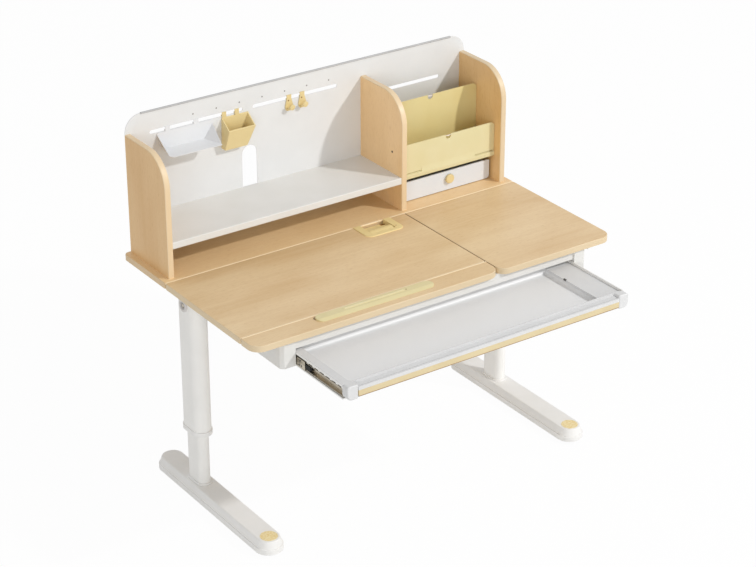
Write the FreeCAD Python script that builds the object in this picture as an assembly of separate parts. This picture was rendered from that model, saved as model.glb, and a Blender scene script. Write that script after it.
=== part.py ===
import FreeCAD, Part
import math
import os

V = FreeCAD.Vector
X = V(1, 0, 0)
Y = V(0, 1, 0)
Z = V(0, 0, 1)

# All lengths in millimetres. X runs left to right along the top, Y from the sitter to the wall, Z up.
# The origin is on the floor, under the middle of the desk with its drawer open as photographed.

# Running fits and cutting
cut_overrun = 20.0
slide_clearance = 0.4
pin_clearance = 0.06
seat_gap = 0.3
push_fit_gap = 0.1

# Top boards
surface_height = 684.5
board_thickness = 18.0
top_width = 1208.0
rear_board_depth = 232.0
rear_seam_gap = 3.0
tilt_board_depth = 388.6
hinge_gap = 3.4
front_strip_depth = 69.0
tilt_width_share = 0.6656
side_seam_gap = 3.0
outer_corner_radius = 36.0
strip_corner_radius = 36.0
bay_corner_radius = 28.0
rear_corner_radius = 15.0
small_corner_radius = 4.0
board_edge_radius = 2.0

# Feet and pads
leg_inset = 70.5
foot_length = 607.0
foot_base_width = 83.0
foot_step = 3.0
foot_height = 38.0
foot_base_height = 16.0
foot_lean = 6.5
foot_edge_radius = 5.0
foot_base_radius = 2.0
foot_wall = 5.0
foot_hollow_length = 380.0
foot_forward_shift = 106.5
pad_height = 10.0
pad_radius = 18.0
pad_inset = 46.0
disc_radius = 25.0
disc_thickness = 2.5
disc_seat_depth = 1.5
disc_inset = 40.0
disc_edge_radius = 0.8

# Columns
column_setback = 25.0
inner_column_width = 38.0
inner_column_length = 82.0
inner_column_wall = 2.0
inner_column_top = 428.0
inner_column_floor = 6.0
outer_column_width = 56.0
outer_column_length = 100.0
outer_column_wall = 2.5
outer_column_bottom = 215.5
outer_column_cap = 3.0
collar_rim = 3.0
collar_height = 14.5
collar_lip = 6.0
collar_edge_radius = 1.5
flange_rim = 5.0
flange_height = 4.0
flange_edge_radius = 2.0
bolt_radius = 4.0
bolt_head_radius = 6.5
bolt_head_height = 5.0
bolt_spacing = 50.0

# Lift drive
nut_depth = 24.0
nut_flange = 6.0
screw_radius = 8.0
screw_neck_radius = 6.0
screw_tip = 343.0
bearing_thickness = 10.0
bearing_drop = 36.0
shaft_drop = 26.0
shaft_radius = 5.0
gear_radius = 14.0
gear_face_share = 0.43
gear_gap = 0.5
gear_hub_radius = 9.0
gear_hub_length = 8.0
bush_radius = 9.0
bush_length = 8.0
hex_across = 10.0
hex_reach = 3.0
boss_radius = 19.0
boss_bore = 12.0
boss_thickness = 5.0
boss_edge_radius = 1.5

# Frame under the top
rail_width = 33.0
rail_height = 28.5
rail_wall = 2.0
rail_front_inset = 40.0
rail_rear_inset = 36.0
beam_width = 40.0
beam_height = 50.0
beam_wall = 2.0
front_rail_inset = 14.0
front_rail_depth = 30.0
front_rail_height = 28.5
middle_rail_width = 30.0
middle_rail_rear = 60.0

# Slide boxes and drawer slides
box_width = 44.5
box_front_inset = 9.0
box_rear = 115.0
box_height = 76.5
box_wall = 1.5
box_chamfer = 9.5
box_front_radius = 5.0
slide_height = 30.0
slide_depth = 14.0
slide_sheet = 1.2
slide_play = 0.8
slide_flange = 9.0
outer_slide_length = 312.0
middle_slide_length = 250.0
middle_slide_reach = 31.0
inner_slide_length = 262.0
inner_slide_inset = 2.0

# Main drawer
drawer_open = 231.0
drawer_lip_over = 12.5
drawer_drop = 34.5
drawer_front_height = 36.5
drawer_depth = 271.0
drawer_lip = 24.0
drawer_rear_lip = 3.75
drawer_lip_thickness = 2.5
drawer_skin = 2.5
drawer_inside_depth = 25.0
drawer_front_depth = 23.5
drawer_corner_radius = 12.0
ledge_width = 79.5
ledge_drop = 8.5
drawer_floor_radius = 8.0
end_cap_width = 34.5
end_cap_drop = 5.5
end_cap_radii = (5.0, 16.0, 8.0, 5.0)
end_cap_edge_radius = 4.0
front_bar_drop = 7.5
front_groove_setback = 5.0
front_groove_width = 3.0
front_groove_depth = 2.0
strip_low = 2.5
strip_height = 16.0
strip_depth = 4.0
strip_proud = 0.5
strip_slant = 1.0

# Hutch
upright_inset = 21.0
upright_front_inset = 14.0
upright_thickness = 18.5
upright_height = 355.5
upright_round = 93.0
upright_edge_radius = 3.0
pin_hole_radius = 2.5
pin_hole_depth = 9.0
pin_hole_setback = 49.5
pin_hole_rise = 171.5
panel_setback = 4.0
panel_thickness = 2.0
panel_inset = 22.0
panel_height = 409.5
panel_corner_radius = 52.0
trim_over = 2.0
trim_wall = 1.0
slot_height = 11.0
slot_rise = 345.0
slot_one = (99.0, 401.0)
slot_two = (435.0, 724.0)
slot_three_insets = (24.5, 76.5)
slot_three_rise = 293.5
hole_rise = 368.0
hole_first = 239.0
hole_pitch = 76.0
hole_radius = 2.5
hole_count = 7
arch_width = 50.0
arch_left = 395.0
arch_height = 125.0
shelf_rise = 84.5
shelf_thickness = 20.0
shelf_setback = 2.0
shelf_edge_radius = 2.0
screw_shank_radius = 3.0
screw_shank_length = 46.0
screw_head_radius = 6.0
screw_head_height = 3.0
upright_screw_setbacks = (75.0, 180.0)
panel_screw_radius = 2.0
panel_screw_length = 24.0
panel_screw_head_radius = 4.5
panel_screw_head_height = 1.8
panel_screw_rises = (50.0, 200.0, 320.0)
top_screw_bite = 12.0

# File rack and small drawer in the right bay
rack_rise = 79.5
rack_sheet = 3.0
rack_front_setback = 45.0
rack_rear_setback = 137.0
rack_side_gap = 0.5
front_plate_height = 105.0
rear_plate_height = 200.0
plate_corner_radius = 14.0
notch_width = 19.0
notch_depth = 14.0
slit_height = 2.0
slit_length_share = 0.21
slit_rise = 13.0
small_drawer_setback = 58.0
small_drawer_gap = 7.0
small_front_low = 2.5
small_front_height = 60.0
small_front_thickness = 4.0
small_front_radius = 10.0
small_box_inset = 4.0
small_box_height = 50.0
small_box_depth = 154.0
small_box_wall = 3.0
glide_width = 14.0
knob_radius = 14.5
knob_thickness = 7.0
knob_neck_radius = 8.0
knob_neck_length = 3.0
knob_edge_radius = 3.0
knob_height_share = 0.605
knob_offset = 13.0

# Book stop on the front strip
stop_left = 219.0
stop_length = 382.0
stop_width = 38.0
stop_setback = 7.5
stop_slope_run = 12.0
stop_lip = 0.8
stop_height = 5.0
stop_edge_radius = 1.5
stop_rib_length = 199.0
stop_rib_width = 8.0
stop_rib_setback = 13.0
stop_rib_height = 1.2

# Tilt hinge and struts
axis_drop = 5.0
hinge_pin_radius = 1.3
hinge_barrel_radius = 2.6
hinge_leaf_thickness = 2.0
hinge_leaf_width = 56.0
hinge_leaf_reach = 24.0
hinge_arm = 1.6
hinge_inset = 168.0
strut_length = 160.0
strut_drop = 25.5
strut_width = 16.0
strut_thickness = 5.0
strut_inset = 200.0
strut_gap = 2.0
guide_thickness = 4.0
guide_front_depth = 24.0
guide_rear_depth = 56.0
guide_rear_length = 112.0
guide_slot_start = 238.0
guide_slot_end = 322.0
rod_radius = 4.0
ear_thickness = 3.0
ear_length = 24.0
ear_reach = 32.0
ear_round = 10.0

# Handle in the tilting board
handle_right_inset = 54.0
handle_width = 128.5
handle_depth = 82.0
handle_rim = 12.0
handle_side_rim = 20.0
handle_rim_height = 2.5
handle_radius = 20.0
handle_cup_depth = 33.0
handle_wall = 3.0
paddle_gap = 1.0
paddle_front = 9.0
paddle_drop = 6.0
paddle_slope = 10.0
paddle_thickness = 3.0
paddle_roll_radius = 5.0
paddle_trunnion_radius = 2.5
paddle_trunnion_reach = 2.5

# Things hung on the back panel
hang_gap = 0.5
hang_sheet = 1.5
hang_tab = 3.0
hang_lip = 9.0
hang_lip_thickness = 2.0
hang_cover = 1.0
tray_straps = ((148.0, 15.0), (239.0, 16.0))
tray_top = 338.0
tray_fold = 285.0
tray_depth = 68.0
tray_back_top = (119.0, 309.0)
tray_back_fold = (140.0, 271.0)
tray_front = (124.0, 293.0)
tray_corner_radii = (12.0, 3.0)
tray_top_radius = 5.0
tray_side_shares = (0.8, 0.94)
tray_rise_shares = (0.92, 0.78)
pen_straps = ((332.0, 13.0), (374.0, 13.0))
pen_rear_rise = 335.0
pen_front_rise = 305.0
pen_low_rise = 242.5
pen_top = (330.5, 418.5)
pen_low = (327.5, 400.5)
pen_top_depth = 41.0
pen_low_depth = 22.0
pen_wall = 3.0
hook_lefts = (543.5, 588.5)
hook_top_width = 15.0
hook_low_width = 26.0
hook_top_rise = 354.0
hook_low_rise = 306.0
hook_sheet = 2.5
hook_toe = 20.0
hook_turn = 14.0
hook_foot_radius = 8.0
hook_waist_radius = 9.0
hook_shoulder_rise = 322.0
hook_waist_rise = 342.0
hook_toe_width = 18.0
hook_toe_lift = 1.5

# Positions that follow from the sizes above
top_depth = rear_board_depth + rear_seam_gap + tilt_board_depth + hinge_gap + front_strip_depth
rear_edge = (top_depth + drawer_open + strip_proud) / 2
rear_seam = rear_edge - rear_board_depth
tilt_back = rear_seam - rear_seam_gap
tilt_front = tilt_back - tilt_board_depth
strip_back = tilt_front - hinge_gap
front_edge = strip_back - front_strip_depth
left_end = -top_width / 2
right_end = top_width / 2
tilt_right = left_end + top_width * tilt_width_share
right_board_left = tilt_right + side_seam_gap
under_z = surface_height - board_thickness
column_x = right_end - leg_inset
column_y = rear_seam - column_setback
foot_y = column_y - foot_forward_shift
foot_top = pad_height + foot_height
rail_bottom = under_z - rail_height
beam_top = rail_bottom + rail_wall
shaft_height = beam_top - shaft_drop
rail_inner = column_x - rail_width / 2
box_inner = rail_inner - box_width
front_rail_back = front_edge + front_rail_inset + front_rail_depth
box_bottom = under_z - box_height
drawer_top = under_z - drawer_drop
drawer_bottom = drawer_top - drawer_front_height
drawer_floor = drawer_top - drawer_inside_depth
drawer_front = front_edge - drawer_open
drawer_body = box_inner - slide_depth
drawer_half = drawer_body + drawer_lip_over
rail_back = drawer_front + drawer_front_depth
drawer_rear = drawer_front + drawer_depth
panel_back = rear_edge - panel_setback
panel_front = panel_back - panel_thickness
upright_front = rear_seam + upright_front_inset
upright_left = left_end + upright_inset
bay_left = right_board_left + upright_thickness
bay_right = right_end - upright_inset - upright_thickness
bay_middle = (bay_left + bay_right) / 2
rack_z = surface_height + rack_rise
axis_z = surface_height - axis_drop
strut_run = math.sqrt(strut_length ** 2 - strut_drop ** 2)
pivot = (tilt_front + strut_run, axis_z - strut_drop)
roller = (tilt_front + strut_run * 2, axis_z - strut_drop * 2)


def block(x, y, z):
    return Part.makeBox(x[1] - x[0], y[1] - y[0], z[1] - z[0], V(x[0], y[0], z[0]))


def around(middle, width):
    return middle - width / 2, middle + width / 2


def rounded_wire(corners, place):
    """Closed outline through (u, v, radius) corners, each corner rounded by its radius."""
    count = len(corners)
    runs = []
    for i, (u, v, radius) in enumerate(corners):
        here = V(u, v, 0)
        back = V(*corners[i - 1][:2], 0) - here
        ahead = V(*corners[(i + 1) % count][:2], 0) - here
        if radius == 0:
            runs.append((here, None, here))
            continue
        back.normalize()
        ahead.normalize()
        half = back.getAngle(ahead) / 2
        middle = back + ahead
        middle.normalize()
        run = radius / math.tan(half)
        crown = radius / math.sin(half) - radius
        runs.append((here + back * run, here + middle * crown, here + ahead * run))
    edges = []
    for i, (start, crown, end) in enumerate(runs):
        if crown is not None:
            edges.append(Part.Arc(place(start), place(crown), place(end)).toShape())
        follow = runs[(i + 1) % count][0]
        if not end.isEqual(follow, seat_gap / 100):
            edges.append(Part.LineSegment(place(end), place(follow)).toShape())
    return Part.Wire(Part.__sortEdges__(edges))


def prism(corners, axis, span):
    """Solid with the rounded outline across the axis; outlines run x-y, x-z or y-z."""
    low, high = span
    places = {
        "z": lambda p: V(p.x, p.y, low),
        "y": lambda p: V(p.x, low, p.y),
        "x": lambda p: V(low, p.x, p.y),
    }
    pushes = {"x": X, "y": Y, "z": Z}
    face = Part.Face(rounded_wire(corners, places[axis]))
    return face.extrude(pushes[axis] * (high - low))


def plate(u, v, radii, axis, span):
    """Rectangle with four corner radii, from the low-low corner round by way of high u."""
    corners = [(u[0], v[0], radii[0]), (u[1], v[0], radii[1]), (u[1], v[1], radii[2]), (u[0], v[1], radii[3])]
    return prism(corners, axis, span)


def oval(middle, width, length, z):
    x = around(middle[0], width)
    y = around(middle[1], length)
    return plate(x, y, [min(width, length) / 2] * 4, "z", z)


def oval_wire(middle, width, length, z):
    x = around(middle[0], width)
    y = around(middle[1], length)
    radius = width / 2
    corners = [(x[0], y[0], radius), (x[1], y[0], radius), (x[1], y[1], radius), (x[0], y[1], radius)]
    return rounded_wire(corners, lambda p: V(p.x, p.y, z))


def rod(start, axis, length, radius):
    return Part.makeCylinder(radius, length, V(*start), axis)


def join(shapes):
    return shapes[0].multiFuse(shapes[1:]).removeSplitter()


def cut(shape, tools):
    return shape.cut(Part.makeCompound(tools))


def soften(shape, radius, wanted):
    return shape.makeFillet(radius, [edge for edge in shape.Edges if wanted(edge)])


def level(z):
    return lambda edge: all(abs(v.Z - z) < seat_gap / 10 for v in edge.Vertexes)


def upright_line(edge):
    ends = [v.Point for v in edge.Vertexes]
    return len(ends) == 2 and (ends[0] - ends[1]).cross(Z).Length < seat_gap / 10


def mirrored(shape):
    return shape.mirror(V(0, 0, 0), X)


def both(shape):
    return [mirrored(shape), shape]


# Base
def foot():
    ledge = pad_height + foot_base_height
    base = oval((column_x, foot_y), foot_base_width, foot_length, (pad_height, ledge))
    base = soften(base, foot_base_radius, level(ledge))
    width = foot_base_width - foot_step * 2
    length = foot_length - foot_step * 2
    lean = foot_lean * 2
    shell = Part.makeLoft([oval_wire((column_x, foot_y), width, length, ledge),
                           oval_wire((column_x, foot_y), width - lean, length - lean, foot_top)], True, True)
    shell = soften(shell, foot_edge_radius, level(foot_top))
    hollow = oval((column_x, foot_y), width - lean - foot_wall * 2, foot_hollow_length,
                  (pad_height - cut_overrun, foot_top - foot_wall))
    seat = rod((column_x, disc_y(), foot_top - disc_seat_depth), Z, cut_overrun, disc_radius + push_fit_gap)
    return cut(join([base, shell]), [hollow, seat] + bolt_holes())


def disc_y():
    return foot_y - foot_length / 2 + disc_inset


def foot_disc():
    z = foot_top - disc_seat_depth
    disc = rod((column_x, disc_y(), z), Z, disc_thickness, disc_radius)
    return soften(disc, disc_edge_radius, level(z + disc_thickness))


def foot_pads():
    reach = foot_length / 2 - pad_inset
    return [rod((column_x, foot_y + side * reach, 0), Z, pad_height, pad_radius) for side in (-1, 1)]


def bolt_spots():
    return [(column_x, column_y + side * bolt_spacing / 2) for side in (-1, 1)]


def bolt_holes():
    low = foot_top - foot_wall - cut_overrun / 10
    high = foot_top + inner_column_floor
    return [rod((x, y, low), Z, high - low, bolt_radius + pin_clearance) for x, y in bolt_spots()]


def foot_bolts():
    under = foot_top - foot_wall
    bolts = []
    for x, y in bolt_spots():
        shank = rod((x, y, under), Z, foot_wall + inner_column_floor, bolt_radius)
        head = rod((x, y, under - bolt_head_height), Z, bolt_head_height, bolt_head_radius)
        bolts.append(join([shank, head]))
    return bolts


def inner_column():
    middle = (column_x, column_y)
    bore = inner_column_width - inner_column_wall * 2
    bore_length = inner_column_length - inner_column_wall * 2
    tube = oval(middle, inner_column_width, inner_column_length, (foot_top, inner_column_top))
    hollow = oval(middle, bore, bore_length, (foot_top + inner_column_floor, inner_column_top + cut_overrun))
    return cut(tube, [hollow] + bolt_holes())


def column_flange():
    middle = (column_x, column_y)
    width = inner_column_width + push_fit_gap * 2
    length = inner_column_length + push_fit_gap * 2
    top = foot_top + flange_height
    rim = flange_rim * 2
    ring = oval(middle, inner_column_width + rim, inner_column_length + rim, (foot_top, top))
    ring = soften(ring, flange_edge_radius, level(top))
    return cut(ring, [oval(middle, width, length, (foot_top - cut_overrun, top + cut_overrun))])


def lift_nut():
    middle = (column_x, column_y)
    shrink = (inner_column_wall + push_fit_gap) * 2
    slack = (outer_column_wall + slide_clearance) * 2
    plug = oval(middle, inner_column_width - shrink, inner_column_length - shrink,
                (inner_column_top - nut_depth, inner_column_top))
    flange = oval(middle, outer_column_width - slack, outer_column_length - slack,
                  (inner_column_top, inner_column_top + nut_flange))
    bore = rod((column_x, column_y, screw_tip), Z, shaft_height - screw_tip, screw_radius + pin_clearance)
    return cut(join([plug, flange]), [bore])


# Lifting columns and their drive
def outer_column(side):
    middle = (column_x, column_y)
    bore = outer_column_width - outer_column_wall * 2
    bore_length = outer_column_length - outer_column_wall * 2
    tube = oval(middle, outer_column_width, outer_column_length, (outer_column_bottom, rail_bottom))
    ceiling = rail_bottom - outer_column_cap
    hollow = oval(middle, bore, bore_length, (outer_column_bottom - cut_overrun, ceiling))
    inner_face = column_x - outer_column_width / 2
    radius = bush_radius + push_fit_gap
    length = cut_overrun + outer_column_wall * 2
    openings = [rod((inner_face - cut_overrun, column_y, shaft_height), X, length, radius)]
    if side < 0:
        openings.append(rod((column_x, column_y, shaft_height), X, outer_column_width, radius))
    tube = cut(tube, [hollow] + openings)
    return mirrored(tube) if side < 0 else tube


def collar():
    middle = (column_x, column_y)
    low = outer_column_bottom - collar_lip
    high = low + collar_height
    rim = collar_rim * 2
    ring = oval(middle, outer_column_width + rim, outer_column_length + rim, (low, high))
    ring = soften(ring, collar_edge_radius, lambda edge: level(low)(edge) or level(high)(edge))
    seat = oval(middle, outer_column_width + push_fit_gap * 2, outer_column_length + push_fit_gap * 2,
                (outer_column_bottom, high + cut_overrun))
    way = oval(middle, inner_column_width + slide_clearance * 2, inner_column_length + slide_clearance * 2,
               (low - cut_overrun, high))
    return cut(ring, [seat, way])


def bearing_z():
    high = shaft_height - bearing_drop + bearing_thickness
    return high - bearing_thickness, high


def screw_bearing():
    shrink = (outer_column_wall + push_fit_gap) * 2
    plug = oval((column_x, column_y), outer_column_width - shrink, outer_column_length - shrink, bearing_z())
    low, high = bearing_z()
    bore = rod((column_x, column_y, low - cut_overrun), Z, high - low + cut_overrun * 2,
               screw_neck_radius + pin_clearance)
    return cut(plug, [bore])


def shaft_bush(start):
    ring = rod((start, column_y, shaft_height), X, bush_length, bush_radius)
    bore = rod((start - cut_overrun, column_y, shaft_height), X, bush_length + cut_overrun * 2,
               shaft_radius + pin_clearance)
    return cut(ring, [bore])


def drive_bearings():
    wall = column_x - outer_column_width / 2
    far = column_x + outer_column_width / 2 - outer_column_wall - bush_length
    starts = [-column_x - outer_column_width / 2, -wall - bush_length, wall, far]
    return both(screw_bearing()) + [shaft_bush(start) for start in starts]


def crank_boss():
    face = -column_x - outer_column_width / 2
    ring = rod((face - boss_thickness, column_y, shaft_height), X, boss_thickness, boss_radius)
    rim = face - boss_thickness
    ring = soften(ring, boss_edge_radius, lambda edge: all(abs(v.X - rim) < seat_gap for v in edge.Vertexes))
    bore = rod((rim - cut_overrun, column_y, shaft_height), X, boss_thickness + cut_overrun * 2, boss_bore)
    return cut(ring, [bore])


def lead_screw():
    low, high = bearing_z()
    spot = (column_x, column_y)
    gear_low = shaft_height - gear_radius - gear_gap
    gear_face = gear_radius * gear_face_share
    thread = rod((*spot, screw_tip), Z, low - seat_gap - screw_tip, screw_radius)
    neck = rod((*spot, low - seat_gap), Z, gear_low - low + seat_gap, screw_neck_radius)
    hub = rod((*spot, high + seat_gap), Z, gear_low - high - seat_gap, gear_hub_radius)
    wheel = Part.makeCone(gear_radius, gear_radius - gear_face, gear_face, V(*spot, gear_low), Z)
    return join([thread, neck, hub, wheel])


def pinion():
    gear_face = gear_radius * gear_face_share
    start = column_x - gear_radius - gear_gap
    back = V(start, column_y, shaft_height)
    wheel = Part.makeCone(gear_radius, gear_radius - gear_face, gear_face, back, X)
    hub = rod((start - gear_hub_length / 2, column_y, shaft_height), X, gear_hub_length / 2, gear_hub_radius)
    return join([wheel, hub])


def drive_shaft():
    start = -column_x - outer_column_width / 2
    end = column_x + outer_column_width / 2 - outer_column_wall - seat_gap
    shaft = rod((start, column_y, shaft_height), X, end - start, shaft_radius)
    reach = hex_across / math.sqrt(3)
    corners = []
    for i in range(6):
        turn = math.radians(60 * i)
        corners.append((column_y + reach * math.sin(turn), shaft_height + reach * math.cos(turn), 0))
    stub = prism(corners, "x", (start - hex_reach, start))
    return join([shaft, stub] + both(pinion()))


# Frame under the top
def side_rail():
    x = around(column_x, rail_width)
    y = (front_edge + rail_front_inset, rear_edge - rail_rear_inset)
    shell = block(x, y, (rail_bottom, under_z))
    hollow = block((x[0] + rail_wall, x[1] - rail_wall), (y[0] - cut_overrun, y[1] + cut_overrun),
                   (rail_bottom - cut_overrun, under_z - rail_wall))
    return shell, hollow


def top_screw_spots(side):
    x = side * column_x
    rear = rear_seam + rear_board_depth / 2
    front = front_edge + front_strip_depth - hinge_gap * 2
    if side < 0:
        return [(x, front), (x, rear)]
    return [(x, front), (x, tilt_back - tilt_board_depth / 4), (x, rear)]


def top_screw_rods(radius, grow):
    length = rail_wall + top_screw_bite + grow
    spots = top_screw_spots(-1) + top_screw_spots(1)
    return [rod((x, y, under_z - rail_wall), Z, length, radius) for x, y in spots]


def top_screw_holes():
    return top_screw_rods(screw_shank_radius + pin_clearance, seat_gap)


def top_screws():
    heads = []
    for shank in top_screw_rods(screw_shank_radius, 0):
        middle = shank.BoundBox.Center
        start = (middle.x, middle.y, under_z - rail_wall - screw_head_height)
        heads.append(join([shank, rod(start, Z, screw_head_height, screw_head_radius)]))
    return heads


def side_rails():
    shell, hollow = side_rail()
    rail = cut(shell, [hollow])
    return [cut(one, top_screw_holes()) for one in both(rail)]


def tube(x, y, z, wall, axis):
    spans = {"x": x, "y": y, "z": z}
    inner = {}
    for name, span in spans.items():
        if name == axis:
            inner[name] = (span[0] - cut_overrun, span[1] + cut_overrun)
        else:
            inner[name] = (span[0] + wall, span[1] - wall)
    return cut(block(x, y, z), [block(inner["x"], inner["y"], inner["z"])])


def cross_beam():
    end = column_x - outer_column_width / 2
    z = (beam_top - beam_height, beam_top)
    return tube((-end, end), around(column_y, beam_width), z, beam_wall, "x")


def front_rail():
    y = (front_edge + front_rail_inset, front_rail_back)
    return tube((-box_inner, box_inner), y, (under_z - front_rail_height, under_z), rail_wall, "x")


def middle_rail():
    x = (right_board_left, right_board_left + middle_rail_width)
    return tube(x, (front_rail_back, rear_seam + middle_rail_rear), (beam_top, under_z), rail_wall, "y")


def slide_box():
    y = (front_edge + box_front_inset, rear_seam - box_rear)
    z = (box_bottom, under_z)
    low, high = box_inner, rail_inner
    nose = box_chamfer

    def body(inset, front, back, bottom, top):
        corners = [(low + inset, front, 0), (high - nose, front, box_front_radius),
                   (high - inset, front + nose - inset, box_front_radius), (high - inset, back, 0),
                   (low + inset, back, 0)]
        return prism(corners, "z", (bottom, top))

    shell = body(0, y[0], y[1], *z)
    hollow = body(box_wall, y[0] + box_wall, y[1] + cut_overrun, z[0] + box_wall, z[1] - box_wall)
    return cut(shell, [hollow])


# Drawer slides: three nested channels at each side
def channel(web, tip, z, y):
    low, high = z
    step = slide_sheet if tip > web else -slide_sheet
    shell = block(sorted((web, tip)), y, z)
    hollow = block(sorted((web + step, tip + step * cut_overrun)), (y[0] - cut_overrun, y[1] + cut_overrun),
                   (low + slide_sheet, high - slide_sheet))
    return cut(shell, [hollow])


def slide_z(level_in):
    inset = (slide_sheet + slide_play) * level_in
    return box_bottom + inset, box_bottom + slide_height - inset


def outer_slide():
    front = front_edge + drawer_front_depth + slide_play
    return channel(box_inner, box_inner - slide_flange, slide_z(0), (front, front + outer_slide_length))


def middle_slide():
    web = box_inner - slide_sheet - slide_play
    front = front_edge - middle_slide_reach
    return channel(web, web - slide_flange, slide_z(1), (front, front + middle_slide_length))


def inner_slide():
    front = rail_back + inner_slide_inset
    return channel(drawer_body, drawer_body + slide_flange, slide_z(2), (front, front + inner_slide_length))


# Main drawer
def drawer_tray():
    inner = drawer_half - drawer_lip
    riser = drawer_half - ledge_width - drawer_skin
    ledge = drawer_top - ledge_drop
    low = drawer_floor - drawer_skin
    y = (rail_back, drawer_rear)
    inside_y = (y[0] + drawer_skin, y[1] - drawer_rear_lip)
    body = block((-drawer_body, drawer_body), (y[0], inside_y[1] + drawer_skin), (low, drawer_top))
    left_lip = block((-drawer_half, drawer_body), y, (drawer_top - drawer_lip_thickness, drawer_top))
    right_lip = block((drawer_body, drawer_half), y, (ledge - drawer_lip_thickness, ledge))
    cavity = plate((-inner, riser), inside_y, [drawer_corner_radius, 0, 0, drawer_corner_radius], "z",
                   (drawer_floor, drawer_top + cut_overrun))
    cavity = soften(cavity, drawer_floor_radius, level(drawer_floor))
    shelf_cut = block((riser, drawer_half + cut_overrun), inside_y, (ledge, drawer_top + cut_overrun))
    left_under = block((-drawer_body + drawer_skin, -inner - drawer_skin), inside_y,
                       (low - cut_overrun, drawer_top - drawer_lip_thickness))
    right_under = block((riser + drawer_skin, drawer_body - drawer_skin), inside_y,
                        (low - cut_overrun, ledge - drawer_skin))
    return cut(join([body, left_lip, right_lip]), [cavity, shelf_cut, left_under, right_under])


def drawer_front_span():
    return drawer_bottom + strip_low, drawer_bottom + strip_low + strip_height


def drawer_front_rail():
    end = drawer_half - end_cap_width
    top = drawer_top - front_bar_drop
    bar = block((-end, end), (drawer_front, rail_back), (drawer_bottom, top))
    wide = (-end - cut_overrun, end + cut_overrun)
    seat = block(wide, (drawer_front - cut_overrun, drawer_front + strip_depth), drawer_front_span())
    near = drawer_front + front_groove_setback
    groove = block(wide, (near, near + front_groove_width), (top - front_groove_depth, top + cut_overrun))
    return cut(bar, [seat, groove])


def drawer_end_cap():
    x = (drawer_half - end_cap_width, drawer_half)
    z = (drawer_bottom - end_cap_drop, drawer_top)
    cap = plate(x, z, end_cap_radii, "y", (drawer_front, rail_back))

    def on_front(edge):
        return all(abs(v.Y - drawer_front) < seat_gap for v in edge.Vertexes)

    return soften(cap, end_cap_edge_radius, on_front)


def drawer_strip():
    end = drawer_half - end_cap_width
    low, high = drawer_front_span()
    corners = [(-end + strip_slant, low, 0), (end - strip_slant, low, 0), (end, high, 0), (-end, high, 0)]
    return prism(corners, "y", (drawer_front - strip_proud, drawer_front + strip_depth))


# Top boards
def board(x, y, radii):
    slab = plate(x, y, radii, "z", (under_z, surface_height))
    return soften(slab, board_edge_radius, level(surface_height))


def rear_board():
    radii = [small_corner_radius, small_corner_radius, rear_corner_radius, rear_corner_radius]
    slab = board((left_end, right_end), (rear_seam, rear_edge), radii)
    return cut(slab, upright_screw_holes() + top_screw_holes())


def right_board():
    radii = [bay_corner_radius, outer_corner_radius, small_corner_radius, small_corner_radius]
    slab = board((right_board_left, right_end), (front_edge, tilt_back), radii)
    return cut(slab, top_screw_holes())


def front_strip():
    radii = [outer_corner_radius, strip_corner_radius, small_corner_radius, small_corner_radius]
    slab = board((left_end, tilt_right), (front_edge, strip_back), radii)
    return cut(slab, top_screw_holes())


def handle_notch(grow):
    right = tilt_right - handle_right_inset
    x = (right - handle_width + handle_side_rim - grow, right - handle_side_rim + grow)
    front = tilt_back - handle_depth + handle_rim - grow
    return x, front


def tilt_board():
    slab = board((left_end, tilt_right), (tilt_front, tilt_back), [small_corner_radius] * 4)
    x, front = handle_notch(push_fit_gap)
    corner = handle_radius - handle_rim + push_fit_gap
    notch = plate(x, (front, tilt_back + cut_overrun), [corner, corner, 0, 0], "z",
                  (under_z - cut_overrun, surface_height + cut_overrun))
    reach = hinge_barrel_radius + slide_clearance
    width = hinge_leaf_width + slide_clearance * 2
    pocket_y = (tilt_front - cut_overrun, tilt_front + reach)
    pocket_z = (under_z - cut_overrun, axis_z + reach)
    pockets = [block(around(middle, width), pocket_y, pocket_z) for middle in hinge_middles()]
    return cut(slab, [notch] + pockets)


# Tilt hinges along the front of the tilting board
def hinge_middles():
    return left_end + hinge_inset, tilt_right - hinge_inset


def hinge_thirds(middle):
    third = hinge_leaf_width / 3
    start = middle - hinge_leaf_width / 2
    return [(start + third * i + seat_gap / 2, start + third * (i + 1) - seat_gap / 2) for i in range(3)]


def knuckle(x):
    return rod((x[0], tilt_front, axis_z), X, x[1] - x[0], hinge_barrel_radius)


def pin_hole(middle):
    start = (middle - hinge_leaf_width, tilt_front, axis_z)
    return rod(start, X, hinge_leaf_width * 2, hinge_pin_radius + pin_clearance)


def fixed_leaf(middle):
    x = hinge_thirds(middle)[1]
    arm_y = (tilt_front - hinge_barrel_radius, tilt_front - hinge_barrel_radius + hinge_arm)
    arm = block(x, arm_y, (under_z - hinge_leaf_thickness, axis_z))
    foot_y_span = (arm_y[1] - hinge_leaf_reach, arm_y[1])
    leaf = block(around(middle, hinge_leaf_width), foot_y_span, (under_z - hinge_leaf_thickness, under_z))
    return cut(join([arm, leaf, knuckle(x)]), [pin_hole(middle)])


def moving_leaf(middle):
    thirds = hinge_thirds(middle)
    arm_y = (tilt_front + hinge_barrel_radius - hinge_arm, tilt_front + hinge_barrel_radius)
    pieces = []
    for x in (thirds[0], thirds[2]):
        pieces += [block(x, arm_y, (under_z - hinge_leaf_thickness, axis_z)), knuckle(x)]
    leaf = block(around(middle, hinge_leaf_width), (arm_y[0], arm_y[0] + hinge_leaf_reach),
                 (under_z - hinge_leaf_thickness, under_z))
    return cut(join(pieces + [leaf]), [pin_hole(middle)])


def hinge_pin(middle):
    return rod((middle - hinge_leaf_width / 2, tilt_front, axis_z), X, hinge_leaf_width, hinge_pin_radius)


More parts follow.
